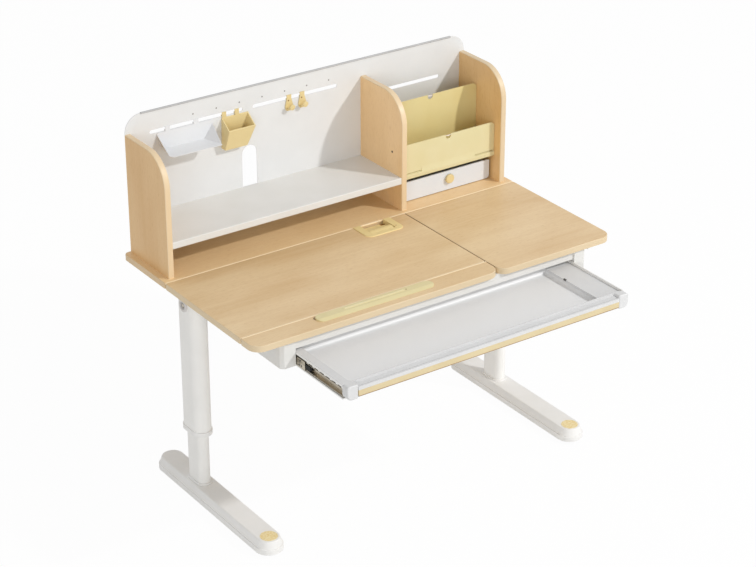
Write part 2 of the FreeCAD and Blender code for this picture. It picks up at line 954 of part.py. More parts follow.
# Struts that fold under the tilting board and ride in sloping slots
def strut_lanes():
    """Strut position and the way its ear lies, left set and right set."""
    return (left_end + strut_inset, 1), (tilt_right - strut_inset, -1)


def lane_span(start, way, offset, thickness):
    near = start + way * offset
    return sorted((near, near + way * thickness))


def along(distance):
    share = distance / strut_length
    return tilt_front + strut_run * share, axis_z - strut_drop * share


def slot_tool(x, start, end, radius):
    (y0, z0), (y1, z1) = along(start), along(end)
    run = V(0, y1 - y0, z1 - z0)
    side = V(0, z0 - z1, y1 - y0)
    side.normalize()
    corners = [V(x, y0, z0) + side * radius, V(x, y1, z1) + side * radius,
               V(x, y1, z1) - side * radius, V(x, y0, z0) - side * radius]
    bar = Part.Face(Part.makePolygon(corners + corners[:1]))
    return bar, run, [(x, y0, z0), (x, y1, z1)]


def slot_solid(span, start, end, radius):
    bar, run, ends = slot_tool(span[0], start, end, radius)
    thick = span[1] - span[0]
    return join([bar.extrude(X * thick)] + [rod(spot, X, thick, radius) for spot in ends])


def tilt_guide(start):
    x = around(start, guide_thickness)
    top = under_z - seat_gap
    back = column_y - beam_width / 2
    bend = back - guide_rear_length
    corners = [(front_rail_back, top, 0), (back, top, 0), (back, under_z - guide_rear_depth, 0),
               (bend, under_z - guide_rear_depth, 0), (bend, under_z - guide_front_depth, 0),
               (front_rail_back, under_z - guide_front_depth, 0)]
    slab = prism(corners, "x", x)
    wide = (x[0] - cut_overrun, x[1] + cut_overrun)
    return cut(slab, [slot_solid(wide, guide_slot_start, guide_slot_end, rod_radius + slide_clearance)])


def tilt_strut(start, way):
    x = lane_span(start, way, guide_thickness / 2 + strut_gap, strut_thickness)
    bar = slot_solid(x, strut_length, strut_length * 2, strut_width / 2)
    wide = strut_thickness * 4
    radius = rod_radius + pin_clearance
    holes = [rod((x[0] - strut_thickness, *spot), X, wide, radius) for spot in (pivot, roller)]
    return cut(bar, holes)


def ear_offset():
    return guide_thickness / 2 + strut_gap * 2 + strut_thickness


def tilt_ear(start, way):
    x = lane_span(start, way, ear_offset(), ear_thickness)
    y, z = pivot
    tongue = prism([(y - ear_length / 2, under_z, 0), (y - ear_length / 2, z - ear_round, ear_round),
                    (y + ear_length / 2, z - ear_round, ear_round), (y + ear_length / 2, under_z, 0)], "x", x)
    pad = block(lane_span(start, way, ear_offset(), ear_reach), (y - ear_length / 2, y + ear_length / 2),
                (under_z - ear_thickness, under_z))
    hole = rod((x[0] - ear_thickness, y, z), X, ear_thickness * 3, rod_radius + pin_clearance)
    return cut(join([tongue, pad]), [hole])


def strut_rods():
    (left, _), (right, _) = strut_lanes()
    end = guide_thickness / 2 + strut_gap
    rods = [rod((left - end, *roller), X, right - left + end * 2, rod_radius)]
    for start, way in strut_lanes():
        near = guide_thickness / 2 + seat_gap
        x = lane_span(start, way, near, ear_offset() + ear_thickness - guide_thickness / 2)
        rods.append(rod((x[0], *pivot), X, x[1] - x[0], rod_radius))
    return rods


# Handle in the rear edge of the tilting board
def paddle_axis():
    _, front = handle_notch(0)
    return front + paddle_front, surface_height - paddle_drop


def handle_bezel():
    x, front = handle_notch(0)
    corner = handle_radius - handle_rim
    low = surface_height - handle_cup_depth
    cup = plate(x, (front, tilt_back), [corner, corner, 0, 0], "z", (low, surface_height))
    rim_x = (x[0] - handle_side_rim, x[1] + handle_side_rim)
    rim = plate(rim_x, (front - handle_rim, tilt_back), [handle_radius, handle_radius, 0, 0], "z",
                (surface_height, surface_height + handle_rim_height))
    rim = soften(rim, handle_rim_height / 2, level(surface_height + handle_rim_height))
    hollow = plate((x[0] + handle_wall, x[1] - handle_wall), (front + handle_wall, tilt_back + cut_overrun),
                   [corner / 4, corner / 4, 0, 0], "z", (low + handle_wall, surface_height + cut_overrun))
    y, z = paddle_axis()
    bore = rod((x[0] + handle_wall - paddle_trunnion_reach - seat_gap, y, z), X,
               x[1] - x[0] - (handle_wall - paddle_trunnion_reach - seat_gap) * 2,
               paddle_trunnion_radius + pin_clearance)
    return cut(join([cup, rim]), [hollow, bore])


def release_paddle():
    x, front = handle_notch(0)
    y, z = paddle_axis()
    end = tilt_back - paddle_gap
    top = z + paddle_roll_radius
    low = top - paddle_slope
    corners = [(y, top, 0), (y, top - paddle_thickness, 0), (end, low - paddle_thickness, 0), (end, low, 0)]
    inner = (x[0] + handle_wall + paddle_gap, x[1] - handle_wall - paddle_gap)
    slab = prism(corners, "x", inner)
    roll = rod((inner[0], y, z), X, inner[1] - inner[0], paddle_roll_radius)
    start = x[0] + handle_wall - paddle_trunnion_reach
    axle = rod((start, y, z), X, x[1] - handle_wall + paddle_trunnion_reach - start, paddle_trunnion_radius)
    return join([slab, roll, axle])


def book_stop():
    back = strip_back - stop_setback
    front = back - stop_width
    middle = left_end + stop_left + stop_length / 2
    top = surface_height + stop_height
    bar = oval((middle, (front + back) / 2), stop_length, stop_width, (surface_height, top))
    slope = prism([(front - stop_slope_run, surface_height + stop_lip, 0), (front, surface_height + stop_lip, 0),
                   (front + stop_slope_run, top, 0), (front + stop_slope_run, top + stop_height, 0),
                   (front - stop_slope_run, top + stop_height, 0)], "x", around(middle, stop_length * 2))
    bar = cut(soften(bar, stop_edge_radius, level(top)), [slope])
    rib = oval((middle, back - stop_rib_setback), stop_rib_length, stop_rib_width,
               (surface_height, top + stop_rib_height))
    return join([bar, soften(rib, stop_rib_height, level(top + stop_rib_height))])


# Hutch
def upright_starts():
    return upright_left, right_board_left, right_end - upright_inset - upright_thickness


def upright(start):
    z = (surface_height, surface_height + upright_height)
    x = (start, start + upright_thickness)
    slab = plate((upright_front, panel_front), z, [0, 0, 0, upright_round], "x", x)
    back = panel_front - upright_round / 2

    def on_front(edge):
        return all(v.Y < back and v.Z > z[0] + seat_gap for v in edge.Vertexes)

    slab = soften(slab, upright_edge_radius, on_front)
    return cut(slab, upright_screw_holes() + panel_screw_holes())


def divider():
    spot = (right_board_left, upright_front + pin_hole_setback, surface_height + pin_hole_rise)
    return cut(upright(right_board_left), [rod(spot, X, pin_hole_depth, pin_hole_radius)])


def upright_screw_spots():
    return [(start + upright_thickness / 2, upright_front + setback)
            for start in upright_starts() for setback in upright_screw_setbacks]


def upright_screw_holes():
    return [rod((x, y, under_z), Z, screw_shank_length + seat_gap, screw_shank_radius + pin_clearance)
            for x, y in upright_screw_spots()]


def panel_screw_spots():
    return [(start + upright_thickness / 2, surface_height + rise)
            for start in upright_starts() for rise in panel_screw_rises]


def panel_screw_holes():
    radius = panel_screw_radius + pin_clearance
    start = panel_back - panel_screw_length - seat_gap
    return [rod((x, start, z), Y, panel_screw_length + cut_overrun, radius) for x, z in panel_screw_spots()]


def hutch_screws():
    screws = []
    for x, y in upright_screw_spots():
        head = rod((x, y, under_z - screw_head_height), Z, screw_head_height, screw_head_radius)
        screws.append(join([head, rod((x, y, under_z), Z, screw_shank_length, screw_shank_radius)]))
    for x, z in panel_screw_spots():
        head = rod((x, panel_back, z), Y, panel_screw_head_height, panel_screw_head_radius)
        start = panel_back - panel_screw_length
        screws.append(join([head, rod((x, start, z), Y, panel_screw_length, panel_screw_radius)]))
    return screws


def shelf():
    x = (upright_left + upright_thickness, right_board_left)
    z = (surface_height + shelf_rise, surface_height + shelf_rise + shelf_thickness)
    front = upright_front + shelf_setback
    slab = block(x, (front, panel_front), z)

    def on_front(edge):
        return all(abs(v.Y - front) < seat_gap for v in edge.Vertexes) and not upright_line(edge)

    return soften(slab, shelf_edge_radius, on_front)


def panel_slot(x, rise):
    z = around(surface_height + rise, slot_height)
    return plate(x, z, [slot_height / 2] * 4, "y", (panel_front - cut_overrun, panel_back + cut_overrun))


def back_panel():
    end = right_end - panel_inset
    sheet = plate((-end, end), (surface_height, surface_height + panel_height),
                  [0, 0, panel_corner_radius, panel_corner_radius], "y", (panel_front, panel_back))
    slot_three = (bay_left + slot_three_insets[0], bay_right - slot_three_insets[1])
    tools = [panel_slot(span_at(slot_one), slot_rise), panel_slot(span_at(slot_two), slot_rise),
             panel_slot(slot_three, slot_three_rise)]
    for i in range(hole_count):
        spot = (left_end + hole_first + hole_pitch * i, panel_front - cut_overrun, surface_height + hole_rise)
        tools.append(rod(spot, Y, panel_thickness + cut_overrun * 2, hole_radius))
    arch_z = surface_height + shelf_rise + shelf_thickness
    arch_x = (left_end + arch_left, left_end + arch_left + arch_width)
    round_top = arch_width / 2
    tools.append(plate(arch_x, (arch_z, arch_z + arch_height), [0, 0, round_top, round_top], "y",
                       (panel_front - cut_overrun, panel_back + cut_overrun)))
    return cut(sheet, tools + panel_screw_holes())


def panel_trim():
    end = right_end - panel_inset - panel_corner_radius
    top = surface_height + panel_height
    y = (panel_front - trim_wall, panel_back + trim_wall)
    bar = block((-end, end), y, (top - trim_over, top + trim_wall))
    groove = block((-end - cut_overrun, end + cut_overrun), (panel_front, panel_back), (surface_height, top))
    return cut(bar, [groove])


# File rack
def rack_plate(height, front):
    x = (bay_left + rack_side_gap, bay_right - rack_side_gap)
    low = rack_z + rack_sheet
    radii = [0, 0, plate_corner_radius, plate_corner_radius]
    sheet = plate(x, (low, low + height), radii, "y", (front, front + rack_sheet))
    notch = plate(around(bay_middle, notch_width), (low + height - notch_depth, low + height + cut_overrun),
                  [notch_width / 2, notch_width / 2, 0, 0], "y", (front - cut_overrun, front + cut_overrun))
    return cut(sheet, [notch])


def file_rack():
    y = (rear_seam + rack_front_setback, panel_front)
    base = block((bay_left, bay_right), y, (rack_z, rack_z + rack_sheet))
    return join([base, rack_plate(rear_plate_height, rear_seam + rack_rear_setback)])


def file_front_plate():
    front = rear_seam + rack_front_setback
    sheet = rack_plate(front_plate_height, front)
    low = rack_z + rack_sheet + slit_rise
    z = (low, low + slit_height)
    y = (front - cut_overrun, front + cut_overrun)
    ends = (bay_left + rack_side_gap, bay_right - rack_side_gap)
    run = (ends[1] - ends[0]) * slit_length_share
    slits = [block((ends[0] - cut_overrun, ends[0] + run), y, z),
             block((ends[1] - run, ends[1] + cut_overrun), y, z)]
    return cut(sheet, slits)


# Small drawer
def small_front_y():
    return rear_seam + small_drawer_setback


def small_drawer():
    x = (bay_left + small_drawer_gap, bay_right - small_drawer_gap)
    low = surface_height + small_front_low
    front = small_front_y()
    radii = [small_front_radius, small_front_radius, small_front_thickness, small_front_thickness]
    face = plate(x, (low, low + small_front_height), radii, "y", (front, front + small_front_thickness))
    box_x = (x[0] + small_box_inset, x[1] - small_box_inset)
    box_y = (front + small_front_thickness, front + small_front_thickness + small_box_depth)
    body = block(box_x, box_y, (low, low + small_box_height))
    wall = small_box_wall
    hollow = block((box_x[0] + wall, box_x[1] - wall), (box_y[0], box_y[1] - wall),
                   (low + wall, low + small_box_height + cut_overrun))
    return join([face, cut(body, [hollow])])


def small_drawer_glide():
    start = bay_left + small_drawer_gap + small_box_inset
    y = (small_front_y() + small_front_thickness, panel_front)
    z = (surface_height, surface_height + small_front_low - seat_gap)
    strip = block((start, start + glide_width), y, z)
    return [strip, strip.mirror(V(bay_middle, 0, 0), X)]


def small_drawer_knob():
    face = small_front_y()
    z = surface_height + small_front_low + small_front_height * knob_height_share
    head_y = face - knob_neck_length - knob_thickness
    head = rod((bay_middle + knob_offset, head_y, z), Y, knob_thickness, knob_radius)

    def on_face(edge):
        return all(abs(v.Y - head_y) < seat_gap for v in edge.Vertexes)

    head = soften(head, knob_edge_radius, on_face)
    neck = rod((bay_middle + knob_offset, head_y + knob_thickness, z), Y, knob_neck_length, knob_neck_radius)
    return join([head, neck])


# Things hung on the back panel's slots
def hang_front():
    return panel_front - hang_gap


def hanger(x, sheet, low):
    """Strap in front of the panel, tab through the slot and lip behind."""
    z = around(surface_height + slot_rise, slot_height)
    tab_low = z[0] + seat_gap
    tab_high = tab_low + hang_tab
    y = hang_front()
    lip_y = panel_back + hang_gap
    strap = block(x, (y - sheet, y), (low, z[1] + hang_cover))
    tab = block(x, (y - sheet, lip_y + hang_lip_thickness), (tab_low, tab_high))
    lip = block(x, (lip_y, lip_y + hang_lip_thickness), (tab_low - hang_lip, tab_high))
    return [strap, tab, lip]


def span_at(span):
    return left_end + span[0], left_end + span[1]


def strap_spans(straps):
    return [(left_end + start, left_end + start + width) for start, width in straps]


def triangle(corners, way):
    a, b, c = corners
    normal = (b - a).cross(c - a)
    normal.normalize()
    return Part.Face(Part.makePolygon([a, b, c, a])).extrude(normal * (hang_sheet * way))


def wall_tray():
    back = hang_front()
    top = surface_height + tray_top
    fold = surface_height + tray_fold
    front = back - tray_depth
    (tl, tr), (bl, br), (fl, fr) = span_at(tray_back_top), span_at(tray_back_fold), span_at(tray_front)
    round_top = tray_top_radius
    wall = prism([(bl, fold, 0), (br, fold, 0), (tr, top, round_top), (tl, top, round_top)], "y",
                 (back - hang_sheet, back))
    corners = [(fl, front, tray_corner_radii[0]), (fr, front, tray_corner_radii[1]), (br, back, 0), (bl, back, 0)]
    floor = prism(corners, "z", (fold, fold + hang_sheet))

    def side(root, toe, peak, run_share, rise_share):
        foot_end = V(root, back, fold) + V(toe - root, front - back, 0) * run_share
        return V(root, back, fold), foot_end, V(root, back, fold) + V(peak - root, 0, top - fold) * rise_share

    left = triangle(side(bl, fl, tl, tray_side_shares[0], tray_rise_shares[0]), -1)
    right = triangle(side(br, fr, tr, tray_side_shares[1], tray_rise_shares[1]), 1)
    pieces = [wall, floor, left, right]
    for x in strap_spans(tray_straps):
        pieces += hanger(x, hang_sheet, fold + hang_sheet)
    return join(pieces)


def wedge(inset, lift):
    back = hang_front() - inset
    low = surface_height + pen_low_rise + inset
    (tl, tr), (bl, br) = span_at(pen_top), span_at(pen_low)
    low_front = hang_front() - pen_low_depth + inset
    top_front = hang_front() - pen_top_depth + inset
    ease = inset * (pen_rear_rise - pen_front_rise) / pen_top_depth
    rear_z = surface_height + pen_rear_rise + lift - ease
    front_z = surface_height + pen_front_rise + lift + ease

    def ring(left, right, front, front_level, back_level):
        corners = [V(left + inset, front, front_level), V(right - inset, front, front_level),
                   V(right - inset, back, back_level), V(left + inset, back, back_level)]
        return Part.makePolygon(corners + corners[:1])

    wires = [ring(bl, br, low_front, low, low), ring(tl, tr, top_front, front_z, rear_z)]
    return Part.makeLoft(wires, True, True)


def pen_box():
    shell = cut(wedge(0, 0), [wedge(pen_wall, slide_clearance)])
    pieces = [shell]
    for x in strap_spans(pen_straps):
        pieces += hanger(x, pen_wall, surface_height + pen_front_rise)
    return join(pieces)


def hook(start):
    middle = left_end + start + hook_low_width / 2
    low = surface_height + hook_low_rise
    high = surface_height + hook_top_rise
    back = hang_front()
    wide = around(middle, hook_low_width)
    narrow = around(middle, hook_top_width)
    shoulder = surface_height + hook_shoulder_rise
    waist = surface_height + hook_waist_rise
    foot_round, turn_round = hook_foot_radius, hook_waist_radius
    tongue = prism([(wide[0], low, foot_round), (wide[1], low, foot_round), (wide[1], shoulder, turn_round),
                    (narrow[1], waist, turn_round), (narrow[1], high, 0), (narrow[0], high, 0),
                    (narrow[0], waist, turn_round), (wide[0], shoulder, turn_round)], "y", (back - hook_sheet, back))
    start_z = low + hook_toe_lift
    tip = back - hook_toe
    toe = prism([(back, start_z, 0), (tip, start_z + hook_turn, 0), (tip, start_z + hook_turn + hook_sheet, 0),
                 (back, start_z + hook_sheet, 0)], "x", around(middle, hook_toe_width))
    return join([tongue, toe] + hanger(narrow, hook_sheet, high - slot_height * 2))


nodes = {
    "left_foot": [mirrored(foot())],
    "right_foot": [foot()],
    "foot_discs": both(foot_disc()),
    "foot_pads": [one for pad in foot_pads() for one in both(pad)],
    "foot_bolts": [one for bolt in foot_bolts() for one in both(bolt)],
    "left_inner_column": [mirrored(inner_column())],
    "right_inner_column": [inner_column()],
    "column_flanges": both(column_flange()),
    "lift_nuts": both(lift_nut()),
    "left_outer_column": [outer_column(-1)],
    "right_outer_column": [outer_column(1)],
    "column_collars": both(collar()),
    "drive_bearings": drive_bearings(),
    "crank_boss": [crank_boss()],
    "drive_shaft": [drive_shaft()],
    "left_lead_screw": [mirrored(lead_screw())],
    "right_lead_screw": [lead_screw()],
    "side_rails": side_rails(),
    "cross_beam": [cross_beam()],
    "front_rail": [front_rail()],
    "middle_rail": [middle_rail()],
    "slide_boxes": both(slide_box()),
    "outer_slides": both(outer_slide()),
    "middle_slides": both(middle_slide()),
    "inner_slides": both(inner_slide()),
    "drawer_tray": [drawer_tray()],
    "drawer_front_rail": [drawer_front_rail()],
    "drawer_end_caps": both(drawer_end_cap()),
    "drawer_strip": [drawer_strip()],
    "rear_board": [rear_board()],
    "right_board": [right_board()],
    "front_strip": [front_strip()],
    "tilt_board": [tilt_board()],
    "top_screws": top_screws(),
    "hinge_fixed_leaves": [fixed_leaf(middle) for middle in hinge_middles()],
    "hinge_moving_leaves": [moving_leaf(middle) for middle in hinge_middles()],
    "hinge_pins": [hinge_pin(middle) for middle in hinge_middles()],
    "tilt_guides": [tilt_guide(start) for start, _ in strut_lanes()],
    "tilt_struts": [tilt_strut(*lane) for lane in strut_lanes()],
    "tilt_ears": [tilt_ear(*lane) for lane in strut_lanes()],
    "strut_rods": strut_rods(),
    "handle_bezel": [handle_bezel()],
    "release_paddle": [release_paddle()],
    "book_stop": [book_stop()],
    "left_upright": [upright(upright_starts()[0])],
    "divider": [divider()],
    "right_upright": [upright(upright_starts()[2])],
    "shelf": [shelf()],
    "back_panel": [back_panel()],
    "panel_trim": [panel_trim()],
    "hutch_screws": hutch_screws(),
    "file_rack": [file_rack()],
    "file_front_plate": [file_front_plate()],
    "small_drawer": [small_drawer()],
    "small_drawer_glides": small_drawer_glide(),
    "small_drawer_knob": [small_drawer_knob()],
    "wall_tray": [wall_tray()],
    "pen_box": [pen_box()],
    "left_hook": [hook(hook_lefts[0])],
    "right_hook": [hook(hook_lefts[1])],
}

os.makedirs("parts", exist_ok=True)
for name, shapes in nodes.items():
    solids = [solid for shape in shapes for solid in shape.Solids]
    whole = solids[0] if len(solids) == 1 else Part.makeCompound(solids)
    whole.exportStep("parts/" + name + ".step")
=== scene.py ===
import math

import bmesh
import bpy
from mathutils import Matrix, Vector


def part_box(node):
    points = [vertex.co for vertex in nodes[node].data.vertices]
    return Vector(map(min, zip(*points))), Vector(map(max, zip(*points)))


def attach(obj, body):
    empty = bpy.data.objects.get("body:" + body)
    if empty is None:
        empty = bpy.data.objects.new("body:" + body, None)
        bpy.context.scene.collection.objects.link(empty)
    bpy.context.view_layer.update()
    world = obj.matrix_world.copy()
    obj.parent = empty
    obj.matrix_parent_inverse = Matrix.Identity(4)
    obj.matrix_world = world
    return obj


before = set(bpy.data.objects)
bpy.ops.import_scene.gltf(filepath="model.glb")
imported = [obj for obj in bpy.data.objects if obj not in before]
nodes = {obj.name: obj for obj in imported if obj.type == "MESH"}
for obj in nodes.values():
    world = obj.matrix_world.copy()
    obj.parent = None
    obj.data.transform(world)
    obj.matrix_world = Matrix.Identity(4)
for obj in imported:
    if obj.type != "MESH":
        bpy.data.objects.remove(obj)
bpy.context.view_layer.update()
MM = 0.001
X, Z = 0, 2


def linear(colour):
    """An sRGB hex colour as linear red, green, blue and alpha."""
    parts = [int(colour[i:i + 2], 16) / 255 for i in (1, 3, 5)]
    return [*(p / 12.92 if p <= 0.04045 else ((p + 0.055) / 1.055) ** 2.4 for p in parts), 1.0]


def add(tree, kind, inputs, **settings):
    """Adds one node: settings are its own properties, inputs are values or the sockets linked to it."""
    made = tree.nodes.new(kind)
    for name, value in settings.items():
        setattr(made, name, value)
    for name, value in inputs.items():
        if isinstance(value, bpy.types.NodeSocket):
            tree.links.new(value, made.inputs[name])
        else:
            made.inputs[name].default_value = value
    return made


def new_material(name):
    material = bpy.data.materials.new(name)
    material.use_nodes = True
    material.node_tree.nodes.clear()
    return material, material.node_tree


def per_mm(size):
    """Noise scale whose features are about this many millimetres across."""
    return 1 / (size * MM)


# Beech-decor laminate on chipboard: a pale honey face with soft lengthwise figure, slow clouds of tone and
# short darker ray flecks; the glued edge band is plainer and paler. Real flecks, about 0.5 by 4 mm, are too
# fine to show at this size, so they are drawn about four times as coarse. Each kind has its width and length
# in millimetres.
FIGURE = (11, 320, {"Detail": 4.0, "Roughness": 0.6, "Distortion": 0.4})
FLECKS = (2.2, 18, {"Detail": 1.0})
CLOUDS = (120, 340, {"Detail": 2.0})


def beech_laminate(name, along, face, light, deep, fleck, band):
    """The laminate with its grain along one axis and its broad faces across another."""
    material, tree = new_material(name)
    place = add(tree, "ShaderNodeTexCoord", {})
    grain = []
    for width, length, look in (FIGURE, FLECKS, CLOUDS):
        stretch = [1.0] * 3
        stretch[along] = width / length
        drawn = add(tree, "ShaderNodeMapping", {"Vector": place.outputs["Object"], "Scale": stretch})
        noise = add(tree, "ShaderNodeTexNoise", {"Vector": drawn.outputs[0], "Scale": per_mm(width), **look})
        grain.append(noise.outputs["Fac"])
    figure, flecks, clouds = grain
    faint = add(tree, "ShaderNodeMath", {0: figure, 1: 0.5}, operation="MULTIPLY")
    both = add(tree, "ShaderNodeMath", {0: clouds, 1: 1.5, 2: faint.outputs[0]}, operation="MULTIPLY_ADD")
    depth = add(tree, "ShaderNodeMapRange", {"Value": both.outputs[0], "From Min": 0.7, "From Max": 1.3})
    tone = add(tree, "ShaderNodeMix", {0: depth.outputs[0], 6: linear(deep), 7: linear(light)},
               data_type="RGBA")
    marks = add(tree, "ShaderNodeMapRange", {"Value": flecks, "From Min": 0.56, "From Max": 0.72,
                                             "To Max": 0.36})
    flecked = add(tree, "ShaderNodeMix", {0: marks.outputs[0], 6: tone.outputs[2], 7: linear(fleck)},
                  data_type="RGBA")
    facing = add(tree, "ShaderNodeSeparateXYZ", {"Vector": place.outputs["Normal"]})
    level = add(tree, "ShaderNodeMath", {0: facing.outputs[face]}, operation="ABSOLUTE")
    on_face = add(tree, "ShaderNodeMapRange", {"Value": level.outputs[0], "From Min": 0.9, "From Max": 0.95})
    banded = add(tree, "ShaderNodeMix", {0: depth.outputs[0], 6: linear(band[1]), 7: linear(band[0])},
                 data_type="RGBA")
    surface = add(tree, "ShaderNodeMix", {0: on_face.outputs[0], 6: banded.outputs[2], 7: flecked.outputs[2]},
                  data_type="RGBA")
    sheen = add(tree, "ShaderNodeMapRange", {"Value": figure, "To Min": 0.5, "To Max": 0.38})
    pores = add(tree, "ShaderNodeBump", {"Height": flecks, "Strength": 0.15, "Distance": 0.05 * MM})
    shader = add(tree, "ShaderNodeBsdfPrincipled", {"Base Color": surface.outputs[2], "IOR": 1.5,
                                                    "Roughness": sheen.outputs[0],
                                                    "Normal": pores.outputs[0]})
    add(tree, "ShaderNodeOutputMaterial", {"Surface": shader.outputs[0]})
    return material


GLOSS_DRIFT = 0.06


def skin(name, colour, shade, gloss, grain, relief, drift=(90, 90, 90), metallic=0.0, floor=None):
    """A coated, moulded or rolled skin: its colour drifts slowly to a shade, the gloss varies a little with
    it, and a fine texture breaks the highlights. The texture's real grain, under 1 mm, is drawn coarser so
    that it shows. With a floor, another colour takes over between its two heights, in millimetres, and stays
    below them."""
    material, tree = new_material(name)
    place = add(tree, "ShaderNodeTexCoord", {})
    spread = add(tree, "ShaderNodeMapping", {"Vector": place.outputs["Object"],
                                             "Scale": [per_mm(size) for size in drift]})
    mottle = add(tree, "ShaderNodeTexNoise", {"Vector": spread.outputs[0], "Scale": 1.0, "Detail": 3.0})
    depth = add(tree, "ShaderNodeMapRange", {"Value": mottle.outputs["Fac"], "From Min": 0.35,
                                             "From Max": 0.65})
    tone = add(tree, "ShaderNodeMix", {0: depth.outputs[0], 6: linear(shade), 7: linear(colour)},
               data_type="RGBA")
    # The floor colour is painted light: by height, a paler colour below the rim
    if floor:
        upper, lower, paler_floor_painted_light = floor
        height = add(tree, "ShaderNodeSeparateXYZ", {"Vector": place.outputs["Object"]})
        below = add(tree, "ShaderNodeMapRange", {"Value": height.outputs[2], "From Min": upper * MM,
                                                 "From Max": lower * MM})
        tone = add(tree, "ShaderNodeMix", {0: below.outputs[0], 6: tone.outputs[2], 7: linear(paler_floor_painted_light)},
                   data_type="RGBA")
    sheen = add(tree, "ShaderNodeMapRange", {"Value": mottle.outputs["Fac"], "To Min": gloss + GLOSS_DRIFT,
                                             "To Max": gloss - GLOSS_DRIFT})
    texture = add(tree, "ShaderNodeTexNoise", {"Vector": place.outputs["Object"], "Scale": per_mm(grain),
                                               "Detail": 2.0})
    bump = add(tree, "ShaderNodeBump", {"Height": texture.outputs["Fac"], "Strength": relief,
                                        "Distance": 0.1 * MM})
    shader = add(tree, "ShaderNodeBsdfPrincipled", {"Base Color": tone.outputs[2], "Metallic": metallic,
                                                    "Roughness": sheen.outputs[0], "Normal": bump.outputs[0]})
    add(tree, "ShaderNodeOutputMaterial", {"Surface": shader.outputs[0]})
    return material


# The tilting board, front strip and right board: pale honey with the clearest clouds
board_beech = beech_laminate("beech_laminate_board", along=X, face=Z, light="#E8CDA3", deep="#D8B686",
                             fleck="#C9A370", band=("#E0CBA8", "#DCC6A1"))
# The rear board: a lighter, warmer honey with a browner edge band; the lighter tone is painted light that
# lifts the shade under the shelf
rear_beech_painted_light = beech_laminate("beech_laminate_rear_board", along=X, face=Z, light="#F2D4A6", deep="#EAC794",
                            fleck="#D5AA74", band=("#DEC39C", "#D8BC93"))
# The three upright tones below are painted light and shade: each is set to match how lit its upright looks
# The hutch's left upright, grain upright: the deepest honey of the three
left_beech = beech_laminate("beech_laminate_left_upright", along=Z, face=X, light="#E5C08C", deep="#DCB37C",
                            fleck="#C79A60", band=("#E8D0AB", "#E3C9A2"))
# The divider, grain upright: the palest of the three
middle_beech = beech_laminate("beech_laminate_divider", along=Z, face=X, light="#F6D3A2", deep="#EEC893",
                              fleck="#D9AE76", band=("#E8D0AB", "#E3C9A2"))
# The right upright, grain upright: between the other two
upright_beech = beech_laminate("beech_laminate_upright", along=Z, face=X, light="#ECC892", deep="#E4BC82",
                               fleck="#CFA268", band=("#E2CDAB", "#DDC6A2"))

# How coarse a skin's texture is drawn, in millimetres, and how strongly: the orange-peel ripple of a powder
# coat, the grain of an eroded mould, the dull grain of extruded PVC and the finer one of nylon and soft PVC
PEEL = {"grain": 1.6, "relief": 0.08}
MOULD = {"grain": 1.2, "relief": 0.06}
DULL = {"grain": 1.2, "relief": 0.08}
FINE = {"grain": 1.0, "relief": 0.06}
# Powder-coated steel: satin white with a faint orange-peel ripple; on the columns this brightest white is
# painted light that lifts their shade under the top
white_steel_painted_light = skin("powder_coated_steel_white", "#F6F5F2", "#F2F1EE", gloss=0.45, **PEEL)
# The same coat on the back panel, a slightly greyer white: painted shade that tones down the lit panel
panel_steel_painted_shade = skin("powder_coated_steel_soft_white", "#E3E4E4", "#E0E1E1", gloss=0.45, **PEEL)
# The same coat on the rails and slide boxes under the top, a warm greyish white: painted shade that tones
# them down under the top
rail_steel_painted_shade = skin("powder_coated_steel_painted_shade_white", "#E3E2DF", "#E0DFDB", gloss=0.45, **PEEL)
# The same coat in a cool white, on the small hung tray
cool_steel = skin("powder_coated_steel_cool_white", "#E4E5E6", "#E1E2E4", gloss=0.42, **PEEL)
# Powder-coated steel sheet in pale lemon: satin, faint orange-peel ripple
lemon_steel = skin("powder_coated_steel_lemon", "#E0D7AC", "#DDD3A4", gloss=0.45, **PEEL)
# The same coat on the rack behind, a deeper lemon: painted shade for the rack set back in the bay
lemon_steel_painted_shade = skin("powder_coated_steel_deep_lemon", "#DFD198", "#DCCC90", gloss=0.45, **PEEL)
# Moulded ABS: smooth white, a little glossier than the coated steel, with a fine eroded-mould grain
white_abs = skin("moulded_abs_white", "#F0EFED", "#ECEBE8", gloss=0.4, **MOULD)
# The same ABS in a bluish white, on the small drawer
cool_abs = skin("moulded_abs_cool_white", "#E0E5EB", "#DDE1E7", gloss=0.42, grain=1.3, relief=0.06)
# Moulded ABS in a cool, slightly grey white, as the wide drawer shows beside the warmer steel
pale_grey_abs = skin("moulded_abs_pale_grey", "#D9D9D9", "#D6D6D6", gloss=0.4, **MOULD)
# The same ABS on the drawer's tray, grey on the rim and ledge with a paler floor below the rim: painted shade
# on the ledge and painted light on the floor
tray_abs_painted_light = skin("moulded_abs_tray", "#D8D8D8", "#D5D5D5", gloss=0.4, **MOULD, floor=(618, 614, "#E6E6E6"))
# Moulded ABS: warm light grey, on the crank boss
grey_abs = skin("moulded_abs_grey", "#D9D6D4", "#D2CFCD", gloss=0.45, **MOULD)
# The same ABS on the collar in the boss, a darker grey
dim_abs = skin("moulded_abs_dim_grey", "#BDBAB8", "#B5B2B0", gloss=0.45, **MOULD)
# Moulded ABS in pale butter yellow: soft gloss, fine mould grain
butter_abs = skin("moulded_abs_butter_yellow", "#E4D09A", "#E1CC93", gloss=0.4, **MOULD)
# The same ABS on the release handle and its bezel, a brighter yellow
bright_abs = skin("moulded_abs_bright_butter", "#F0DA9E", "#EDD699", gloss=0.4, **MOULD)
# The same ABS on the discs of the feet, clouded with paler specks a few millimetres across
speckled_abs = skin("moulded_abs_speckled_butter", "#F8E9BC", "#EACF88", gloss=0.42, **MOULD, drift=(5, 5, 5))
# The same ABS on the book stop, a paler cream
cream_abs = skin("moulded_abs_cream", "#E1D4A3", "#DED09D", gloss=0.38, **MOULD)
